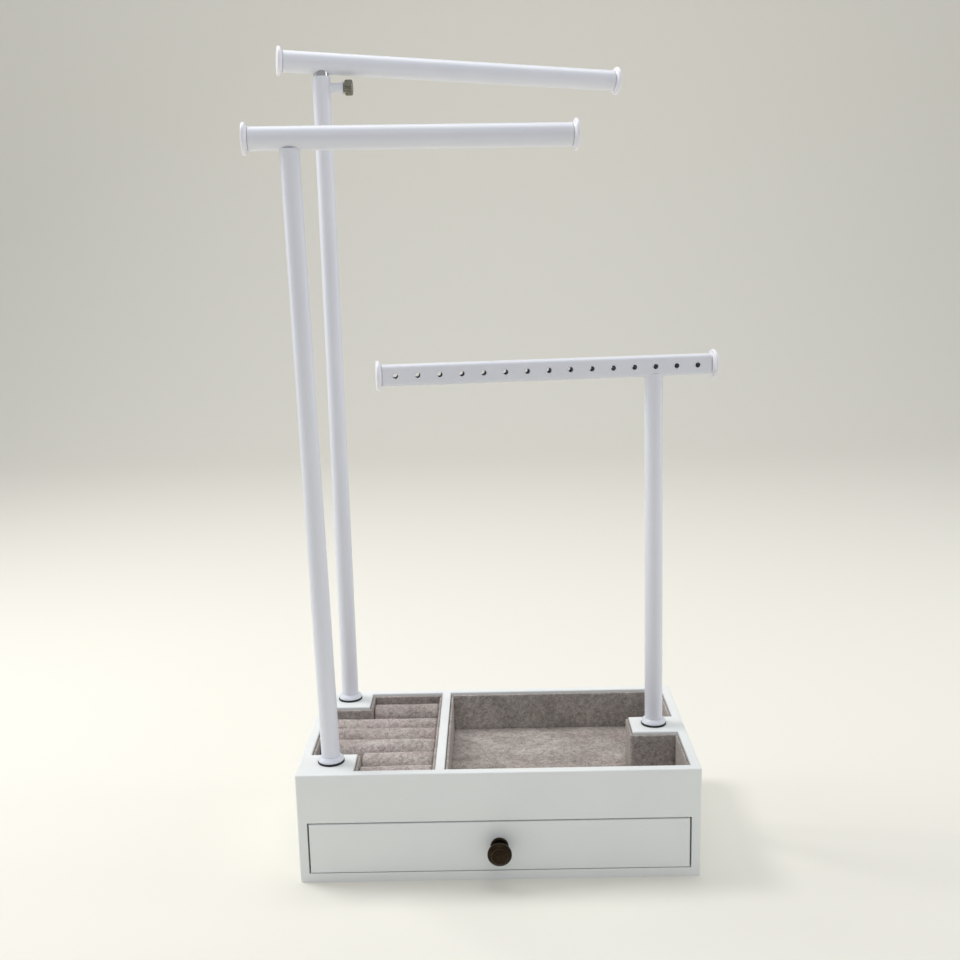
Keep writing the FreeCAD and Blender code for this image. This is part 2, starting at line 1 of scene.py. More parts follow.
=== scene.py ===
"""Finishes, velvet and studio for a white tabletop jewellery stand, laid on its fixed frame.

Sizes in the classes are millimetres and angles are degrees. Meshes are in metres, in the
frame's own axes: +X to the right, +Y to the back, +Z up from the table.
"""

import json
import logging
import math
from abc import ABC, abstractmethod
from collections.abc import Iterable, Sequence
from dataclasses import dataclass
from enum import Enum
from typing import Any

import bmesh
import bpy
from mathutils import Matrix, Vector, noise


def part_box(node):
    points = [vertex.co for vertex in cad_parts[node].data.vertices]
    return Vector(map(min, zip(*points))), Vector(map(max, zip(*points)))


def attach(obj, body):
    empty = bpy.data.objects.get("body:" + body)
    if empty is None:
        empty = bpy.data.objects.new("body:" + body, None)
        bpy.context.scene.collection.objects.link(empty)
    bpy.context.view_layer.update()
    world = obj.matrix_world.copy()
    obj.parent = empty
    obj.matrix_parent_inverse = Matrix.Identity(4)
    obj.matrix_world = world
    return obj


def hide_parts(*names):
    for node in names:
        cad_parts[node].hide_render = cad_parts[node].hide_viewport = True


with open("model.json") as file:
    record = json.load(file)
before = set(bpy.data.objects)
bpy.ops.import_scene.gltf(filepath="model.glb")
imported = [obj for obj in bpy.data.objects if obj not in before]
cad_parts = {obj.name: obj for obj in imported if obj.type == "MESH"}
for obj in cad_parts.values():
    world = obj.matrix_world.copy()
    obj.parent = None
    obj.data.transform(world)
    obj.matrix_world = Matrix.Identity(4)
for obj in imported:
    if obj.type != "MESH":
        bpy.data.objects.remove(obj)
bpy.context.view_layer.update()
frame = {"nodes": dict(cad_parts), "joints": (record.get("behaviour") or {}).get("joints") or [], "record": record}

log = logging.getLogger("jewellery_stand")

MM = 0.001
# Sockets of a Mix node in colour mode, whose names repeat for each kind of value.
MIX_AMOUNT, MIX_FIRST, MIX_SECOND, MIX_OUT = 0, 6, 7, 2


def linear(code: str) -> tuple[float, float, float, float]:
    """Turn an sRGB hex colour into linear light.

    Args:
        code: Six hex digits, with or without a leading hash.

    Returns:
        Linear red, green and blue, and an alpha of one.
    """
    digits = code.lstrip("#")
    parts = [int(digits[i:i + 2], 16) / 255 for i in (0, 2, 4)]
    light = [p / 12.92 if p <= 0.04045 else ((p + 0.055) / 1.055) ** 2.4 for p in parts]
    return light[0], light[1], light[2], 1.0


def per_metre(size_mm: float) -> float:
    """The texture scale at which a pattern repeats about once every size_mm."""
    return 1 / (size_mm * MM)


def add_node(
    tree: bpy.types.NodeTree, kind: str, inputs: dict | None = None, **settings: Any
) -> bpy.types.Node:
    """Add a node with its settings, and fill or link its inputs.

    Args:
        tree: The node tree that gets the node.
        kind: The node's type name.
        inputs: Socket name or number to a value, or to another node's output.
        **settings: The node's own properties.

    Returns:
        The new node.
    """
    node = tree.nodes.new(kind)
    for key, value in settings.items():
        setattr(node, key, value)
    for key, value in (inputs or {}).items():
        if isinstance(value, bpy.types.NodeSocket):
            tree.links.new(value, node.inputs[key])
        else:
            node.inputs[key].default_value = value
    return node


# ---- finishes --------------------------------------------------------------------------
class Finish(ABC):
    """A named surface finish, made as one node material the first time it is asked for."""

    name: str

    def material(self) -> bpy.types.Material:
        """The finish's material, made once."""
        found = bpy.data.materials.get(self.name)
        if found:
            return found
        made = bpy.data.materials.new(self.name)
        made.use_nodes = True
        tree = made.node_tree
        tree.nodes.clear()
        shader = add_node(tree, "ShaderNodeBsdfPrincipled")
        add_node(tree, "ShaderNodeOutputMaterial", {"Surface": shader.outputs[0]})
        place = add_node(tree, "ShaderNodeTexCoord").outputs["Object"]
        self.paint(tree, shader, place)
        return made

    @abstractmethod
    def paint(
        self, tree: bpy.types.NodeTree, shader: bpy.types.Node, place: bpy.types.NodeSocket
    ) -> None:
        """Lay the finish's pattern on its shader.

        Args:
            tree: The material's nodes.
            shader: Its Principled shader.
            place: Where on the piece, in metres.
        """


@dataclass(frozen=True)
class SatinLacquer(Finish):
    """Satin polyurethane lacquer sprayed on fibreboard: a soft, slightly pebbled white."""

    name: str = "satin_lacquer_on_fibreboard"
    bright: str = "#F1F3F2"
    dull: str = "#E6E9E8"
    smudge: str = "#D3D5D3"
    cloud_mm: float = 70.0
    smudge_mm: float = 9.0
    # Orange peel is about 1 mm across. Drawn at twice that, so that it shows.
    peel_mm: float = 2.2
    peel_depth_mm: float = 0.035
    roughness: tuple[float, float] = (0.34, 0.48)

    def paint(
        self, tree: bpy.types.NodeTree, shader: bpy.types.Node, place: bpy.types.NodeSocket
    ) -> None:
        """Clouds of tone, faint handling marks and orange peel."""
        cloud = add_node(tree, "ShaderNodeTexNoise", {
            "Vector": place, "Scale": per_metre(self.cloud_mm), "Detail": 3.0})
        tone = add_node(tree, "ShaderNodeMix", {
            MIX_AMOUNT: cloud.outputs[0],
            MIX_FIRST: linear(self.bright), MIX_SECOND: linear(self.dull)}, data_type="RGBA")
        mark = add_node(tree, "ShaderNodeTexNoise", {
            "Vector": place, "Scale": per_metre(self.smudge_mm), "Detail": 4.0, "Roughness": 0.7})
        seen = add_node(tree, "ShaderNodeMapRange", {
            "Value": mark.outputs[0], "From Min": 0.66, "From Max": 0.82, "To Max": 0.5})
        marked = add_node(tree, "ShaderNodeMix", {
            MIX_AMOUNT: seen.outputs[0], MIX_FIRST: tone.outputs[MIX_OUT],
            MIX_SECOND: linear(self.smudge)}, data_type="RGBA")
        peel = add_node(tree, "ShaderNodeTexNoise", {
            "Vector": place, "Scale": per_metre(self.peel_mm), "Detail": 1.0})
        bump = add_node(tree, "ShaderNodeBump", {
            "Height": peel.outputs[0], "Distance": self.peel_depth_mm * MM, "Strength": 0.7})
        gloss = add_node(tree, "ShaderNodeMapRange", {
            "Value": cloud.outputs[0], "To Min": self.roughness[0], "To Max": self.roughness[1]})
        tree.links.new(marked.outputs[MIX_OUT], shader.inputs["Base Color"])
        tree.links.new(gloss.outputs[0], shader.inputs["Roughness"])
        tree.links.new(bump.outputs[0], shader.inputs["Normal"])
        shader.inputs["IOR"].default_value = 1.48


@dataclass(frozen=True)
class PowderCoat(Finish):
    """White powder coat baked on steel tube: cool, semi-gloss, with a fine orange peel."""

    name: str = "white_powder_coat_on_steel"
    bright: str = "#ECEDF3"
    dull: str = "#DFE1E9"
    run_mm: float = 60.0
    peel_mm: float = 1.6
    peel_depth_mm: float = 0.03
    fleck_mm: float = 3.5
    roughness: tuple[float, float] = (0.24, 0.38)
    stretch: tuple[float, float, float] = (1.0, 1.0, 0.35)

    def paint(
        self, tree: bpy.types.NodeTree, shader: bpy.types.Node, place: bpy.types.NodeSocket
    ) -> None:
        """Long soft runs of tone, rare flecks and orange peel."""
        along = add_node(tree, "ShaderNodeMapping", {"Vector": place, "Scale": self.stretch})
        run = add_node(tree, "ShaderNodeTexNoise", {
            "Vector": along.outputs[0], "Scale": per_metre(self.run_mm), "Detail": 3.0})
        tone = add_node(tree, "ShaderNodeMix", {
            MIX_AMOUNT: run.outputs[0], MIX_FIRST: linear(self.bright),
            MIX_SECOND: linear(self.dull)}, data_type="RGBA")
        fleck = add_node(tree, "ShaderNodeTexVoronoi", {
            "Vector": place, "Scale": per_metre(self.fleck_mm)})
        near = add_node(tree, "ShaderNodeMapRange", {
            "Value": fleck.outputs["Distance"], "From Min": 0.03, "From Max": 0.08,
            "To Min": 0.25, "To Max": 0.0})
        dusted = add_node(tree, "ShaderNodeMix", {
            MIX_AMOUNT: near.outputs[0], MIX_FIRST: tone.outputs[MIX_OUT],
            MIX_SECOND: linear("#B9BAC2")}, data_type="RGBA")
        peel = add_node(tree, "ShaderNodeTexNoise", {
            "Vector": place, "Scale": per_metre(self.peel_mm), "Detail": 1.0})
        bump = add_node(tree, "ShaderNodeBump", {
            "Height": peel.outputs[0], "Distance": self.peel_depth_mm * MM, "Strength": 0.7})
        gloss = add_node(tree, "ShaderNodeMapRange", {
            "Value": run.outputs[0], "To Min": self.roughness[0], "To Max": self.roughness[1]})
        tree.links.new(dusted.outputs[MIX_OUT], shader.inputs["Base Color"])
        tree.links.new(gloss.outputs[0], shader.inputs["Roughness"])
        tree.links.new(bump.outputs[0], shader.inputs["Normal"])
        shader.inputs["IOR"].default_value = 1.5


@dataclass(frozen=True)
class MouldedWhite(Finish):
    """Injection-moulded ABS: a faintly lilac white with a fine spark-eroded grain."""

    name: str = "moulded_white_abs"
    bright: str = "#F5F4F9"
    dull: str = "#E8E7EF"
    flow_mm: float = 14.0
    grain_mm: float = 1.0
    grain_depth_mm: float = 0.02

    def paint(
        self, tree: bpy.types.NodeTree, shader: bpy.types.Node, place: bpy.types.NodeSocket
    ) -> None:
        """Flow marks and mould grain."""
        flow = add_node(tree, "ShaderNodeTexNoise", {
            "Vector": place, "Scale": per_metre(self.flow_mm), "Detail": 2.0, "Distortion": 1.5})
        tone = add_node(tree, "ShaderNodeMix", {
            MIX_AMOUNT: flow.outputs[0], MIX_FIRST: linear(self.bright),
            MIX_SECOND: linear(self.dull)}, data_type="RGBA")
        grain = add_node(tree, "ShaderNodeTexNoise", {
            "Vector": place, "Scale": per_metre(self.grain_mm), "Detail": 2.0})
        bump = add_node(tree, "ShaderNodeBump", {
            "Height": grain.outputs[0], "Distance": self.grain_depth_mm * MM, "Strength": 0.6})
        gloss = add_node(tree, "ShaderNodeMapRange", {
            "Value": grain.outputs[0], "To Min": 0.3, "To Max": 0.42})
        tree.links.new(tone.outputs[MIX_OUT], shader.inputs["Base Color"])
        tree.links.new(gloss.outputs[0], shader.inputs["Roughness"])
        tree.links.new(bump.outputs[0], shader.inputs["Normal"])
        shader.inputs["IOR"].default_value = 1.53


class Nap(Enum):
    """Which way a velvet's pile has been brushed, as a stretch of its patches in X, Y and Z."""

    FLAT = (0.8, 1.25, 1.0)
    ROUND_A_ROLL = (0.8, 1.6, 1.6)
    DOWN_A_WALL = (1.0, 1.0, 0.6)


@dataclass(frozen=True)
class Velvet(Finish):
    """Short crushed velvet: pile that leans either way, so it shows dark, light and pinkish."""

    name: str
    nap: Nap
    away: str = "#98908A"
    body: str = "#AAA29C"
    towards: str = "#C4BDB6"
    blush: str = "#AA9B98"
    patch_mm: float = 40.0
    blush_mm: float = 20.0
    # The pile's tufts are about 0.3 mm. Drawn at 1.3 mm, so that they show.
    tuft_mm: float = 1.3
    clump_mm: float = 3.6
    tuft_depth_mm: float = 0.4

    def paint(
        self, tree: bpy.types.NodeTree, shader: bpy.types.Node, place: bpy.types.NodeSocket
    ) -> None:
        """Brushed patches, a blush of pink, clumps and tufts, and the pile's sheen."""
        brushed = add_node(tree, "ShaderNodeMapping", {"Vector": place, "Scale": self.nap.value})
        patch = add_node(tree, "ShaderNodeTexNoise", {
            "Vector": brushed.outputs[0], "Scale": per_metre(self.patch_mm),
            "Detail": 4.0, "Roughness": 0.6, "Distortion": 0.9})
        ramp = add_node(tree, "ShaderNodeValToRGB", {0: patch.outputs[0]})
        stops = ramp.color_ramp.elements
        stops[0].position, stops[0].color = 0.32, linear(self.away)
        stops[1].position, stops[1].color = 0.7, linear(self.towards)
        middle = stops.new(0.5)
        middle.color = linear(self.body)
        pink = add_node(tree, "ShaderNodeTexNoise", {
            "Vector": place, "Scale": per_metre(self.blush_mm), "Detail": 3.0})
        much = add_node(tree, "ShaderNodeMapRange", {
            "Value": pink.outputs[0], "From Min": 0.45, "From Max": 0.7, "To Max": 0.55})
        warmed = add_node(tree, "ShaderNodeMix", {
            MIX_AMOUNT: much.outputs[0], MIX_FIRST: ramp.outputs[0],
            MIX_SECOND: linear(self.blush)}, data_type="RGBA")
        tuft = add_node(tree, "ShaderNodeTexNoise", {
            "Vector": place, "Scale": per_metre(self.tuft_mm), "Detail": 2.0, "Roughness": 0.6})
        clump = add_node(tree, "ShaderNodeTexNoise", {
            "Vector": place, "Scale": per_metre(self.clump_mm), "Detail": 3.0, "Roughness": 0.65})
        pile = add_node(
            tree, "ShaderNodeMath", {0: tuft.outputs[0], 1: clump.outputs[0]}, operation="ADD")
        shade = add_node(tree, "ShaderNodeMapRange", {
            "Value": pile.outputs[0], "From Min": 0.74, "From Max": 1.26,
            "To Min": 0.62, "To Max": 1.32})
        grey = add_node(tree, "ShaderNodeCombineColor", {
            0: shade.outputs[0], 1: shade.outputs[0], 2: shade.outputs[0]})
        flecked = add_node(tree, "ShaderNodeMix", {
            MIX_AMOUNT: 1.0, MIX_FIRST: warmed.outputs[MIX_OUT],
            MIX_SECOND: grey.outputs[0]}, data_type="RGBA", blend_type="MULTIPLY")
        bump = add_node(tree, "ShaderNodeBump", {
            "Height": pile.outputs[0], "Distance": self.tuft_depth_mm * MM, "Strength": 0.55})
        tree.links.new(flecked.outputs[MIX_OUT], shader.inputs["Base Color"])
        tree.links.new(bump.outputs[0], shader.inputs["Normal"])
        shader.inputs["Roughness"].default_value = 0.95
        shader.inputs["Specular IOR Level"].default_value = 0.2
        shader.inputs["Sheen Weight"].default_value = 0.35
        shader.inputs["Sheen Roughness"].default_value = 0.5
        shader.inputs["Sheen Tint"].default_value = linear("#D8CDC6")


@dataclass(frozen=True)
class Metal(Finish):
    """Bare or plated metal with patches of tone, turning rings and worn edges."""

    name: str
    bright: str
    dark: str
    worn: str
    roughness: tuple[float, float]
    patch_mm: float = 4.0
    ring_mm: float = 0.0
    ring_depth_mm: float = 0.02
    edge_mm: float = 0.6

    def paint(
        self, tree: bpy.types.NodeTree, shader: bpy.types.Node, place: bpy.types.NodeSocket
    ) -> None:
        """Tone, rings left by the lathe, and edges rubbed brighter."""
        patch = add_node(tree, "ShaderNodeTexNoise", {
            "Vector": place, "Scale": per_metre(self.patch_mm), "Detail": 4.0, "Roughness": 0.6})
        tone = add_node(tree, "ShaderNodeMix", {
            MIX_AMOUNT: patch.outputs[0], MIX_FIRST: linear(self.bright),
            MIX_SECOND: linear(self.dark)}, data_type="RGBA")
        rounded = add_node(tree, "ShaderNodeBevel", {"Radius": self.edge_mm * MM}, samples=4)
        true = add_node(tree, "ShaderNodeNewGeometry")
        along = add_node(tree, "ShaderNodeVectorMath", {
            0: rounded.outputs[0], 1: true.outputs["Normal"]}, operation="DOT_PRODUCT")
        rubbed = add_node(tree, "ShaderNodeMapRange", {
            "Value": along.outputs["Value"], "From Min": 0.99, "From Max": 0.9, "To Max": 0.8})
        edged = add_node(tree, "ShaderNodeMix", {
            MIX_AMOUNT: rubbed.outputs[0], MIX_FIRST: tone.outputs[MIX_OUT],
            MIX_SECOND: linear(self.worn)}, data_type="RGBA")
        gloss = add_node(tree, "ShaderNodeMapRange", {
            "Value": patch.outputs[0], "To Min": self.roughness[0], "To Max": self.roughness[1]})
        tree.links.new(edged.outputs[MIX_OUT], shader.inputs["Base Color"])
        tree.links.new(gloss.outputs[0], shader.inputs["Roughness"])
        shader.inputs["Metallic"].default_value = 1.0
        if self.ring_mm:
            ring = add_node(tree, "ShaderNodeTexWave", {
                "Vector": place, "Scale": per_metre(self.ring_mm) / (2 * math.pi), "Distortion": 0.4},
                bands_direction="Z")
            bump = add_node(tree, "ShaderNodeBump", {
                "Height": ring.outputs[0], "Distance": self.ring_depth_mm * MM, "Strength": 0.4})
            tree.links.new(bump.outputs[0], shader.inputs["Normal"])


@dataclass(frozen=True)
class BlackRubber(Finish):
    """Moulded black rubber: matt, with a bloom of pale dust."""

    name: str = "black_rubber"

    def paint(
        self, tree: bpy.types.NodeTree, shader: bpy.types.Node, place: bpy.types.NodeSocket
    ) -> None:
        """Dust and a fine grain."""
        dust = add_node(tree, "ShaderNodeTexNoise", {
            "Vector": place, "Scale": per_metre(2.5), "Detail": 4.0})
        tone = add_node(tree, "ShaderNodeMix", {
            MIX_AMOUNT: dust.outputs[0], MIX_FIRST: linear("#17181A"),
            MIX_SECOND: linear("#2E3032")}, data_type="RGBA")
        bump = add_node(tree, "ShaderNodeBump", {
            "Height": dust.outputs[0], "Distance": 0.05 * MM, "Strength": 0.4})
        tree.links.new(tone.outputs[MIX_OUT], shader.inputs["Base Color"])
        tree.links.new(bump.outputs[0], shader.inputs["Normal"])
        shader.inputs["Roughness"].default_value = 0.75


LACQUER = SatinLacquer()
ENAMEL = PowderCoat()
CAP_PLASTIC = MouldedWhite()
RUBBER = BlackRubber()
FLOOR_VELVET = Velvet("velvet_laid_flat", Nap.FLAT)
WALL_VELVET = Velvet(
    "velvet_on_walls", Nap.DOWN_A_WALL,
    away="#9A938D", body="#A69F99", towards="#B6AFA9", blush="#A59C9A",
)
ROLL_VELVET = Velvet(
    "velvet_on_rolls", Nap.ROUND_A_ROLL,
    away="#A09691", body="#B0A6A1", towards="#C0B8B3", blush="#B4A3A2",
)
# Oil-rubbed bronze: a brown-black skin that rubs through to brown on its rims.
BRONZE = Metal("oil_rubbed_bronze", "#43372A", "#15110E", "#65523C", (0.3, 0.5), patch_mm=2.6)
# Nickel plate darkened in its recesses, which leaves the knurling's crests bright.
DARK_NICKEL = Metal("darkened_nickel_plate", "#8B887C", "#47453C", "#D8D6C8", (0.22, 0.4), edge_mm=0.35)
# Ground and polished steel, with the fine rings that grinding leaves.
BRIGHT_STEEL = Metal("polished_steel", "#D2D3D6", "#BFC0C4", "#E2E3E6", (0.08, 0.16), ring_mm=0.8)
ZINC = Metal(
    "bright_zinc_plate", "#C3C7CC", "#9DA1A6", "#DADDE0", (0.25, 0.4), patch_mm=2.5, ring_mm=0.8)
BRASS = Metal("turned_brass", "#C9A85F", "#A98645", "#E0C689", (0.2, 0.34), ring_mm=0.6)


# ---- meshes ----------------------------------------------------------------------------
def dress(nodes: Iterable[str], finish: Finish) -> None:
    """Put a finish on frame pieces whose own shape is right.

    Args:
        nodes: The frame pieces' names.
        finish: The finish they all get.
    """
    for node in nodes:
        piece = frame["nodes"][node]
        for slot in piece.material_slots:
            slot.material = finish.material()
        log.info("%s: %s", node, finish.name)


def new_piece(name: str, mesh: bpy.types.Mesh, finish: Finish) -> bpy.types.Object:
    """Link a mesh as a piece at the origin, smooth, in one finish.

    Args:
        name: The piece's name.
        mesh: Its mesh, in the frame's axes.
        finish: Its finish.

    Returns:
        The new object.
    """
    mesh.name = name
    mesh.materials.clear()
    mesh.materials.append(finish.material())
    for face in mesh.polygons:
        face.use_smooth = True
    piece = bpy.data.objects.new(name, mesh)
    bpy.context.scene.collection.objects.link(piece)
    return piece


def solid_of(node: str) -> bmesh.types.BMesh:
    """A merged copy of a frame piece's mesh, with its flat faces whole."""
    shape = bmesh.new()
    shape.from_mesh(frame["nodes"][node].data)
    bmesh.ops.remove_doubles(shape, verts=shape.verts, dist=0.01 * MM)
    bmesh.ops.dissolve_limit(
        shape, angle_limit=math.radians(1), verts=shape.verts, edges=shape.edges,
    )
    return shape


def cut_into_cells(shape: bmesh.types.BMesh, cell: float) -> None:
    """Divide every face on an even grid, so that cloth can ripple over it.

    Args:
        shape: The mesh to divide.
        cell: The grid's pitch, in metres.
    """
    low = [min(v.co[i] for v in shape.verts) for i in range(3)]
    high = [max(v.co[i] for v in shape.verts) for i in range(3)]
    for axis in range(3):
        count = int((high[axis] - low[axis]) / cell)
        normal = [float(axis == i) for i in range(3)]
        for step in range(1, count + 1):
            at = [0.0, 0.0, 0.0]
            at[axis] = low[axis] + (high[axis] - low[axis]) * step / (count + 1)
            bmesh.ops.bisect_plane(
                shape, geom=shape.verts[:] + shape.edges[:] + shape.faces[:],
                plane_co=at, plane_no=normal, dist=0.001 * MM,
            )


def ripple(shape: bmesh.types.BMesh, depth: float, wave: float, seed: float) -> None:
    """Push a mesh in and out along its normals by smooth noise.

    Args:
        shape: The mesh.
        depth: The most that a point moves, in metres.
        wave: The noise's wavelength, in metres.
        seed: Moves the noise, so that no two pieces match.
    """
    shape.normal_update()
    moves = [
        v.normal * (noise.noise(v.co / wave + Vector((seed, -seed, 2 * seed))) * depth)
        for v in shape.verts
    ]
    for vertex, move in zip(shape.verts, moves):
        vertex.co += move


def finished_mesh(shape: bmesh.types.BMesh, name: str) -> bpy.types.Mesh:
    """Write a bmesh to a new mesh and free it."""
    bmesh.ops.recalc_face_normals(shape, faces=shape.faces)
    mesh = bpy.data.meshes.new(name)
    shape.to_mesh(mesh)
    shape.free()
    return mesh


def baked(piece: bpy.types.Object) -> bpy.types.Mesh:
    """The mesh that a piece's modifiers give. The modifiers are then removed."""
    graph = bpy.context.evaluated_depsgraph_get()
    graph.update()
    mesh = bpy.data.meshes.new_from_object(piece.evaluated_get(graph))
    piece.modifiers.clear()
    return mesh


# ---- velvet ----------------------------------------------------------------------------
@dataclass
class WrappedBoard:
    """A card with velvet drawn over it, which rounds its edges and lets it ripple."""

    node: str
    body: str
    finish: Velvet
    edge_round: float = 0.75
    corner_round: float = 2.4
    cell: float = 4.0
    wave: float = 17.0
    wave_depth: float = 0.22
    padded: bool = False
    seed: float = 0.0

    def build(self) -> bpy.types.Object:
        """Make the board in place of its frame piece.

        Returns:
            The finished piece.
        """
        shape = solid_of(self.node)
        self.round_corners(shape)
        bmesh.ops.bevel(
            shape, geom=self.sharp_edges(shape), offset=self.edge_round * MM, segments=3,
            profile=0.5, affect="EDGES", clamp_overlap=True,
        )
        cut_into_cells(shape, self.cell * MM)
        ripple(shape, self.wave_depth * MM, self.wave * MM, self.seed)
        name = "velvet_" + self.node
        piece = new_piece(name, finished_mesh(shape, name), self.finish)
        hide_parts(self.node)
        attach(piece, self.body)
        log.info("%s: %d faces", name, len(piece.data.polygons))
        return piece

    def sharp_edges(self, shape: bmesh.types.BMesh) -> list[bmesh.types.BMEdge]:
        """The edges that turn by more than half a right angle."""
        turn = math.radians(40)
        return [e for e in shape.edges if e.is_manifold and abs(e.calc_face_angle_signed()) > turn]

    def round_corners(self, shape: bmesh.types.BMesh) -> None:
        """Round the upright outer corners more, where velvet goes round a block."""
        corners = []
        for edge in shape.edges:
            if not edge.is_manifold:
                continue
            run = edge.verts[0].co - edge.verts[1].co
            upright = abs(run.z) > 10 * MM and abs(run.x) + abs(run.y) < 0.1 * MM
            turn = math.degrees(edge.calc_face_angle_signed())
            if upright and 80 < turn < 100:
                corners.append(edge)
        if corners:
            bmesh.ops.bevel(
                shape, geom=corners, offset=self.corner_round * MM, segments=4,
                profile=0.5, affect="EDGES", clamp_overlap=True,
            )


@dataclass
class RingRoll:
    """A foam roll in velvet: swollen, tucked in at its ends and pressed flat where it lies."""

    node: str
    seed: float
    around: int = 56
    ring_pitch: float = 1.6
    slack: float = 0.6
    sag: float = 0.0
    end_round: float = 1.9
    held_share: float = 0.5
    tuck_depth: float = 0.8
    tuck_share: float = 0.35
    tuck_fade: float = 2.2
    tucks: int = 17
    lump_depth: float = 0.45
    lump_wave: float = 24.0
    swell_limit: float = 0.6
    press: float = 0.15
    pressure: float = 4.0
    frames: int = 20

    def build(self) -> bpy.types.Object:
        """Make the roll in place of its frame piece.

        Returns:
            The finished piece.
        """
        name = "velvet_" + self.node
        shape = self.sewn_shape()
        piece = new_piece(name, finished_mesh(shape, name), ROLL_VELVET)
        self.swell(piece)
        self.settle(piece)
        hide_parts(self.node)
        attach(piece, "box")
        log.info("%s: %d faces", name, len(piece.data.polygons))
        return piece

    def sewn_shape(self) -> bmesh.types.BMesh:
        """The roll before it swells: rings of points with rounded, tucked ends."""
        low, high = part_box(self.node)
        centre = (low + high) / 2
        radius = (high.z - low.z) / 2 - self.slack * MM
        oval = (high.y - low.y) / (high.z - low.z)
        bend = self.end_round * MM
        half = (high.x - low.x) / 2
        steps = 6
        # From the tucked rim of one end, along the barrel, to the other.
        left = [(-half + bend * (1 - math.cos(a)), radius - bend + bend * math.sin(a))
                for a in (math.pi / 2 * i / steps for i in range(steps + 1))]
        count = max(2, int((2 * half - 2 * bend) / (self.ring_pitch * MM)))
        barrel = [(-half + bend + (2 * half - 2 * bend) * i / count, radius) for i in range(1, count)]
        right = [(-x, r) for x, r in reversed(left)]
        inner = [(-half, (radius - bend) * part) for part in (0.35, 0.7)]
        profile = inner + left + barrel + right + [(-x, r) for x, r in reversed(inner)]
        shape = bmesh.new()
        rings = []
        for x, r in profile:
            ring = []
            for k in range(self.around):
                a = 2 * math.pi * k / self.around
                ring.append(shape.verts.new((
                    centre.x + x, centre.y + oval * r * math.cos(a), centre.z + r * math.sin(a))))
            rings.append(ring)
        for one, two in zip(rings, rings[1:]):
            for k in range(self.around):
                n = (k + 1) % self.around
                shape.faces.new((one[k], one[n], two[n], two[k]))
        for ring, x in ((rings[0], -half), (rings[-1], half)):
            hub = shape.verts.new((centre.x + x, centre.y, centre.z))
            for k in range(self.around):
                shape.faces.new((ring[k], ring[(k + 1) % self.around], hub))
        return shape

    def swell(self, piece: bpy.types.Object) -> None:
        """Blow the cover out with cloth under pressure, and apply it within a limit.

        Args:
            piece: The roll, whose mesh is changed.
        """
        rest = [v.co.copy() for v in piece.data.vertices]
        cloth = piece.modifiers.new("cover", "CLOTH")
        settings = cloth.settings
        settings.use_pressure = True
        settings.uniform_pressure_force = self.pressure
        settings.effector_weights.gravity = 0
        settings.quality = 5
        settings.mass = 0.2
        settings.tension_stiffness = 12
        settings.bending_stiffness = 0.4
        low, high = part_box(self.node)
        hold = piece.vertex_groups.new(name="ends")
        near = self.end_round * MM * self.held_share
        ends = [v.index for v in piece.data.vertices
                if v.co.x < low.x + near or v.co.x > high.x - near]
        hold.add(ends, 1.0, "REPLACE")
        settings.vertex_group_mass = "ends"
        scene = bpy.context.scene
        cloth.point_cache.frame_end = self.frames
        for step in range(1, self.frames + 1):
            scene.frame_set(step)
        swollen = baked(piece)
        limit = self.swell_limit * MM
        for vertex, new, old in zip(piece.data.vertices, swollen.vertices, rest):
            move = new.co - old
            if move.length > limit:
                move *= limit / move.length
            vertex.co = old + move
        bpy.data.meshes.remove(swollen)
        scene.frame_set(1)
        piece.vertex_groups.clear()

    def settle(self, piece: bpy.types.Object) -> None:
        """Add lumps and end tucks, and keep the roll off its floor and its neighbours.

        Args:
            piece: The roll, whose mesh is changed.
        """
        low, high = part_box(self.node)
        centre = (low + high) / 2
        full = (high.z - low.z) / 2
        shift = Vector((self.seed, 0.3 * self.seed, -self.seed))
        for vertex in piece.data.vertices:
            out = Vector((0, vertex.co.y - centre.y, vertex.co.z - centre.z))
            reach = out.length
            if reach < full * 0.3:
                continue
            out /= reach
            from_end = min(vertex.co.x - low.x, high.x - vertex.co.x)
            fade = math.exp(-from_end / (self.tuck_fade * self.end_round * MM))
            turn = math.atan2(out.z, out.y)
            tuck = math.cos(self.tucks * turn + self.seed) * 0.5 + 0.5
            lump = noise.noise(vertex.co / (self.lump_wave * MM) + shift)
            reach += self.lump_depth * MM * lump
            reach -= self.tuck_depth * MM * self.tuck_share * tuck * fade
            vertex.co.y = centre.y + out.y * reach
            vertex.co.z = max(centre.z + out.z * reach, low.z)
            vertex.co.y = min(max(vertex.co.y, low.y - self.press * MM), high.y + self.press * MM)
            rise = min(vertex.co.z, high.z) - low.z
            vertex.co.z = low.z + rise * (1 - self.sag * MM / (high.z - low.z))


@dataclass
class LinedBox:
    """The box: lacquered panels and blocks, washers, velvet walls, floors and ring rolls."""

    # How far each roll's top lies below the frame's, from the front of the well to the back.
    sags: tuple[float, ...] = (0.0, 0.0, 0.0, 0.3, 1.6, 0.4)

    def build(self) -> None:
        """Dress the wood and fit the velvet."""
        dress((
            "side_panel_left", "side_panel_right", "back_panel", "front_rail", "bottom_panel",
            "tray_divider", "tray_floor", "front_post_block", "back_post_block", "earring_post_block",
        ), LACQUER)
        dress(("post_washers",), RUBBER)
        dress(("threaded_inserts",), BRASS)
        walls = [n for n in frame["nodes"] if "_lining_" in n]
        for i, node in enumerate(sorted(walls)):
            WrappedBoard(node, "box", WALL_VELVET, seed=3.1 * i).build()
        for i, node in enumerate(("ring_well_pad", "tray_pad")):
            WrappedBoard(node, "box", FLOOR_VELVET, edge_round=0.4, wave_depth=0.3,
                         padded=True, seed=7.7 + i).build()
        for i, sag in enumerate(self.sags):
            RingRoll(f"ring_roll_{i + 1}", seed=2.3 * i + 1, sag=sag).build()


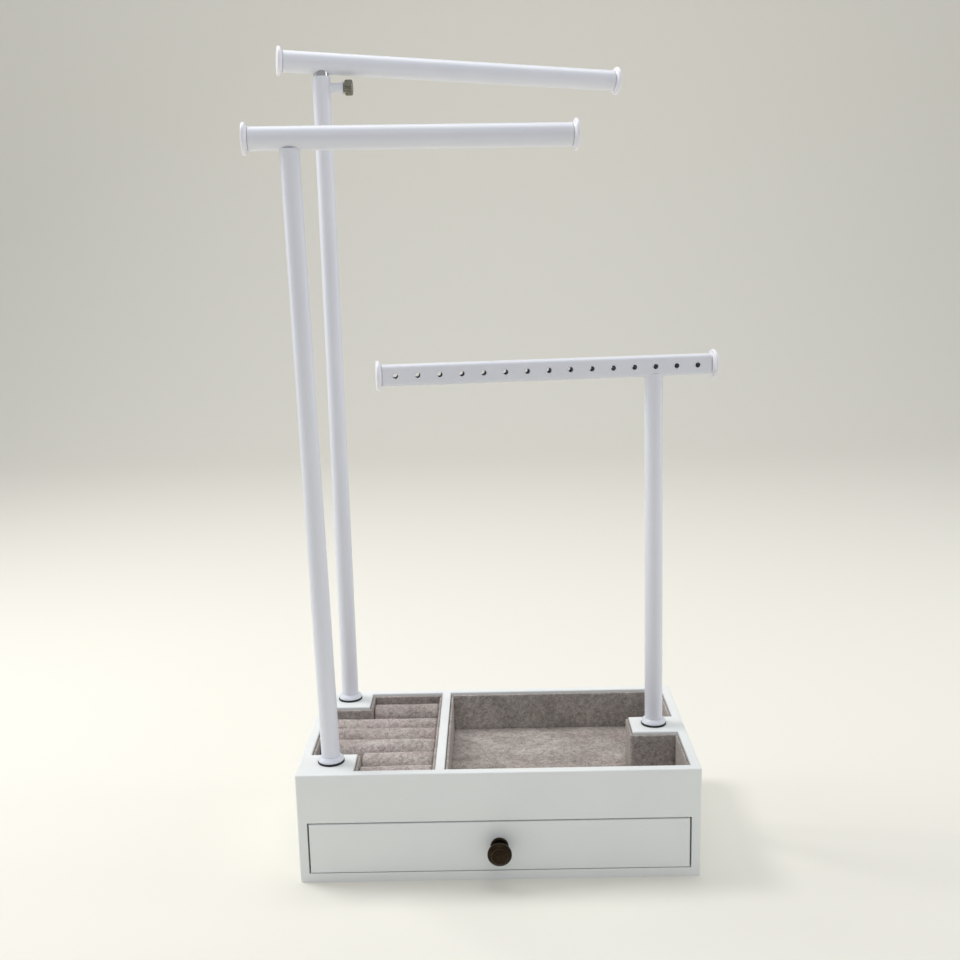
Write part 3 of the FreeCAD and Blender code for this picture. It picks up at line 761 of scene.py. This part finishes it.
@dataclass
class Drawer:
    """The drawer: lacquered boards, a velvet floor and its bronze knob."""

    knob_crown: float = 4.0
    ring_part: float = 0.66
    ring_bead: float = 0.3

    def build(self) -> None:
        """Dress the boards and the knob, and lay the velvet."""
        boards = ("front", "side_left", "side_right", "back", "floor")
        dress(tuple(f"drawer_{board}" for board in boards), LACQUER)
        dress(("knob", "knob_rosette"), BRONZE)
        dress(("knob_screw",), ZINC)
        self.ring_the_knob()
        WrappedBoard("drawer_pad", "drawer", FLOOR_VELVET, edge_round=0.4, wave_depth=0.3,
                     padded=True, seed=11.0).build()

    def ring_the_knob(self) -> None:
        """Raise the turned ring on the knob's domed face."""
        low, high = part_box("knob")
        centre = (low + high) / 2
        radius = (high.x - low.x) / 2
        crown = self.knob_crown * MM
        dome = (radius ** 2 + crown ** 2) / (2 * crown)
        ring = radius * self.ring_part
        sunk = dome - math.sqrt(dome ** 2 - ring ** 2)
        Rings(
            "knob_face_ring", "drawer", "dark_bronze", BRONZE,
            [Vector((centre.x, low.y + sunk, centre.z))], Vector((0, 1, 0)), ring, self.ring_bead * MM,
        ).build()


# ---- beads and rings -------------------------------------------------------------------
class RingSocket(Enum):
    """The ring tree's named inputs."""

    RING_RADIUS = "Ring Radius"
    BEAD_RADIUS = "Bead Radius"
    AXIS = "Axis"
    MATERIAL = "Material"


def ring_tree() -> bpy.types.NodeTree:
    """A Geometry Nodes tree that sets one thin ring on each point of a mesh, made once."""
    name = "ring_on_each_point"
    if name in bpy.data.node_groups:
        return bpy.data.node_groups[name]
    tree = bpy.data.node_groups.new(name, "GeometryNodeTree")
    face = tree.interface
    face.new_socket("Geometry", in_out="INPUT", socket_type="NodeSocketGeometry")
    face.new_socket(RingSocket.RING_RADIUS.value, in_out="INPUT", socket_type="NodeSocketFloat")
    face.new_socket(RingSocket.BEAD_RADIUS.value, in_out="INPUT", socket_type="NodeSocketFloat")
    face.new_socket(RingSocket.AXIS.value, in_out="INPUT", socket_type="NodeSocketVector")
    face.new_socket(RingSocket.MATERIAL.value, in_out="INPUT", socket_type="NodeSocketMaterial")
    face.new_socket("Geometry", in_out="OUTPUT", socket_type="NodeSocketGeometry")
    given = add_node(tree, "NodeGroupInput").outputs
    path = add_node(tree, "GeometryNodeCurvePrimitiveCircle", {
        "Resolution": 32, "Radius": given[RingSocket.RING_RADIUS.value]})
    bead = add_node(tree, "GeometryNodeCurvePrimitiveCircle", {
        "Resolution": 6, "Radius": given[RingSocket.BEAD_RADIUS.value]})
    ring = add_node(tree, "GeometryNodeCurveToMesh", {
        "Curve": path.outputs["Curve"], "Profile Curve": bead.outputs["Curve"]})
    facing = add_node(tree, "FunctionNodeAlignRotationToVector", {
        "Vector": given[RingSocket.AXIS.value]}, axis="Z")
    placed = add_node(tree, "GeometryNodeInstanceOnPoints", {
        "Points": given["Geometry"], "Instance": ring.outputs["Mesh"],
        "Rotation": facing.outputs["Rotation"]})
    real = add_node(tree, "GeometryNodeRealizeInstances", {"Geometry": placed.outputs["Instances"]})
    coated = add_node(tree, "GeometryNodeSetMaterial", {
        "Geometry": real.outputs["Geometry"], "Material": given[RingSocket.MATERIAL.value]})
    add_node(tree, "NodeGroupOutput", {"Geometry": coated.outputs["Geometry"]})
    return tree


@dataclass
class Rings:
    """Thin rings on a row of points, such as the lips of drilled holes."""

    name: str
    body: str
    slot: str
    finish: Finish
    points: Sequence[Vector]
    axis: Vector
    ring_radius: float
    bead_radius: float

    def build(self) -> bpy.types.Object:
        """Make the rings as one plain mesh piece.

        Returns:
            The finished piece.
        """
        mesh = bpy.data.meshes.new(self.name)
        mesh.from_pydata([tuple(p) for p in self.points], [], [])
        piece = bpy.data.objects.new(self.name, mesh)
        bpy.context.scene.collection.objects.link(piece)
        rings = piece.modifiers.new("rings", "NODES")
        rings.node_group = ring_tree()
        values = {
            RingSocket.RING_RADIUS: self.ring_radius, RingSocket.BEAD_RADIUS: self.bead_radius,
            RingSocket.AXIS: self.axis, RingSocket.MATERIAL: self.finish.material(),
        }
        sockets = rings.node_group.interface.items_tree
        named = {s.name: s.identifier for s in sockets if s.in_out == "INPUT"}
        for socket, value in values.items():
            rings[named[socket.value]] = value
        piece.data = baked(piece)
        for face in piece.data.polygons:
            face.use_smooth = True
        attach(piece, self.body)
        log.info("%s: %d rings", self.name, len(self.points))
        return piece


# ---- stands ----------------------------------------------------------------------------
@dataclass
class Stand:
    """A post and its T-bar, with whatever hardware the post carries."""

    prefix: str
    body: str
    joint: str
    others: tuple[tuple[str, Finish], ...] = ()
    bead: float = 0.0
    bead_inset: float = 0.75

    def build(self) -> None:
        """Dress the post, its collar, stud, bar and caps, and whatever else it has."""
        dress((f"{self.prefix}_post", f"{self.prefix}_collar", f"{self.prefix}_bar"), ENAMEL)
        dress((f"{self.prefix}_bar_caps",), CAP_PLASTIC)
        dress((f"{self.prefix}_stud",), ZINC)
        for node, finish in self.others:
            dress((node,), finish)
        if self.bead:
            self.bead_post_top()

    def bead_post_top(self) -> None:
        """Fill the post's flat top edge, where it meets the bar, with a painted weld bead."""
        joint = next(j for j in frame["joints"] if j["name"] == self.joint)
        up = Vector(joint["axis"]).normalized()
        foot = Vector(joint["pos_m"])
        low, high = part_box(f"{self.prefix}_post")
        top = foot + up * ((high.z - foot.z) / up.z - self.bead * MM)
        radius = (high.y - low.y) / 2 - self.bead_inset * self.bead * MM
        Rings(
            f"{self.prefix}_post_weld_bead", self.body, "white_enamelled_steel", ENAMEL,
            [top], up, radius, self.bead * MM,
        ).build()


@dataclass
class HoleLips:
    """The lips that punching turns in round both ends of every ear hook hole."""

    lip: float = 0.28
    depths: tuple[float, ...] = (0.0, 0.5, 1.0)

    def build(self) -> None:
        """Read the holes from the record and ring them."""
        holes = [m for m in frame["record"]["mounts"] if m["kind"] == "bore"]
        axis = Vector(holes[0]["axis"]).normalized()
        radius = holes[0]["dims"]["r_mm"] * MM
        half = holes[0]["dims"]["length_mm"] / 2 * MM
        ends = [
            Vector(h["pos_m"]) + side * (half - depth * MM) * axis
            for h in holes for side in (-1, 1) for depth in self.depths
        ]
        Rings(
            "ear_hook_hole_lips", "earring_stand", "white_enamelled_steel", ENAMEL,
            ends, axis, radius + 0.4 * self.lip * MM, self.lip * MM,
        ).build()


# ---- studio ----------------------------------------------------------------------------
@dataclass(frozen=True)
class Softbox:
    """A rectangular studio light."""

    name: str
    place: tuple[float, float, float]
    target: tuple[float, float, float]
    size: tuple[float, float]
    watts: float
    colour: str = "#FFFFFF"

    def build(self) -> None:
        """Hang the light and point it at its target."""
        lamp = bpy.data.lights.new(self.name, "AREA")
        lamp.shape = "RECTANGLE"
        lamp.size, lamp.size_y = self.size
        lamp.energy = self.watts
        lamp.color = linear(self.colour)[:3]
        light = bpy.data.objects.new(self.name, lamp)
        place = Vector(self.place)
        look = (Vector(self.target) - place).to_track_quat("-Z", "Y").to_matrix().to_4x4()
        light.matrix_world = Matrix.Translation(place) @ look
        bpy.context.scene.collection.objects.link(light)


@dataclass(frozen=True)
class Studio:
    """A pale floor, soft lights and a camera a little above the stand's middle."""

    camera_place: tuple[float, float, float] = (1.39, -872.6, 463.4)
    yaw: float = 0.693
    pitch: float = 11.30
    roll: float = -1.34
    lens: float = 43.27
    floor_half: float = 4000.0
    wall_start: float = 1700.0
    wall_bend: float = 900.0
    wall_height: float = 3200.0
    paper_colour: str = "#EFECE2"
    air_colour: str = "#EEF1F6"
    air: float = 0.52

    def build(self) -> None:
        """Set up the paper, the air, the lights and the camera."""
        self.hang_paper()
        self.light()
        self.aim_camera()
        bpy.context.scene.view_settings.view_transform = "Standard"

    def hang_paper(self) -> None:
        """A wide pale paper floor that bends up into a wall far behind."""
        start, bend = self.wall_start * MM, self.wall_bend * MM
        half = self.floor_half * MM
        profile = [(-half, 0.0), (start, 0.0)]
        for i in range(1, 13):
            turn = math.pi / 2 * i / 12
            profile.append((start + bend * math.sin(turn), bend * (1 - math.cos(turn))))
        profile.append((start + bend, self.wall_height * MM))
        verts = [(x, y, z) for y, z in profile for x in (-half, half)]
        faces = [(2 * i, 2 * i + 1, 2 * i + 3, 2 * i + 2) for i in range(len(profile) - 1)]
        mesh = bpy.data.meshes.new("studio_paper")
        mesh.from_pydata(verts, [], faces)
        for face in mesh.polygons:
            face.use_smooth = True
        paper = bpy.data.objects.new("studio_paper", mesh)
        bpy.context.scene.collection.objects.link(paper)
        pulp = bpy.data.materials.new("studio_paper")
        pulp.use_nodes = True
        shader = pulp.node_tree.nodes["Principled BSDF"]
        shader.inputs["Base Color"].default_value = linear(self.paper_colour)
        shader.inputs["Roughness"].default_value = 0.9
        mesh.materials.append(pulp)

    def light(self) -> None:
        """Soft light from overhead and the left, with low fill from the front and sides."""
        world = bpy.data.worlds.new("studio_air")
        world.use_nodes = True
        sky = world.node_tree.nodes["Background"]
        sky.inputs["Color"].default_value = linear(self.air_colour)
        sky.inputs["Strength"].default_value = self.air
        bpy.context.scene.world = world
        middle = (0.0, 0.0, 0.25)
        for box in (
            Softbox("key", (-0.8, 0.3, 1.5), middle, (0.4, 0.4), 8.5, "#FFFEFA"),
            Softbox("overhead", (0.1, 0.3, 1.9), middle, (1.4, 1.0), 7.6),
            Softbox("left_wall", (-1.5, 0.1, 0.7), middle, (0.5, 1.2), 5.0, "#FAFBFF"),
            Softbox("right_wall", (1.5, 0.1, 0.7), middle, (0.5, 1.2), 4.0, "#FAFBFF"),
            Softbox("front_top", (0.1, -1.7, 1.9), middle, (1.3, 0.9), 4.2),
            Softbox("wall_wash", (0.0, 0.9, 2.4), (0.0, 2.6, 0.5), (3.0, 0.5), 7.0),
        ):
            box.build()

    def aim_camera(self) -> None:
        """Put the camera at its place and turn it."""
        turn = Matrix.Rotation(math.radians(-self.yaw), 3, "Z")
        tilt = Matrix.Rotation(math.radians(self.pitch), 3, "X")
        bank = Matrix.Rotation(math.radians(self.roll), 3, "Y")
        right, ahead, up = bank @ tilt @ turn
        facing = Matrix((right, up, -ahead)).transposed().to_4x4()
        eye = bpy.data.cameras.new("camera")
        eye.lens = self.lens
        camera = bpy.data.objects.new("camera", eye)
        camera.matrix_world = Matrix.Translation(Vector(self.camera_place) * MM) @ facing
        bpy.context.scene.collection.objects.link(camera)
        bpy.context.scene.camera = camera


def main() -> None:
    """Build the stand's parts in order, then the studio."""
    logging.basicConfig(level=logging.INFO, format="%(name)s: %(message)s")
    Studio().build()
    LinedBox().build()
    Drawer().build()
    Stand("front", "front_stand", "front_stand_turn", bead=0.85).build()
    Stand("back", "back_post", "back_stand_turn", (
        ("back_clamp_boss", ENAMEL), ("back_rod", BRIGHT_STEEL),
        ("back_thumbscrew_head", DARK_NICKEL), ("back_thumbscrew_shank", ZINC),
    )).build()
    Stand("earring", "earring_stand", "earring_stand_turn", bead=0.4).build()
    HoleLips().build()


if __name__ == "__main__":
    main()
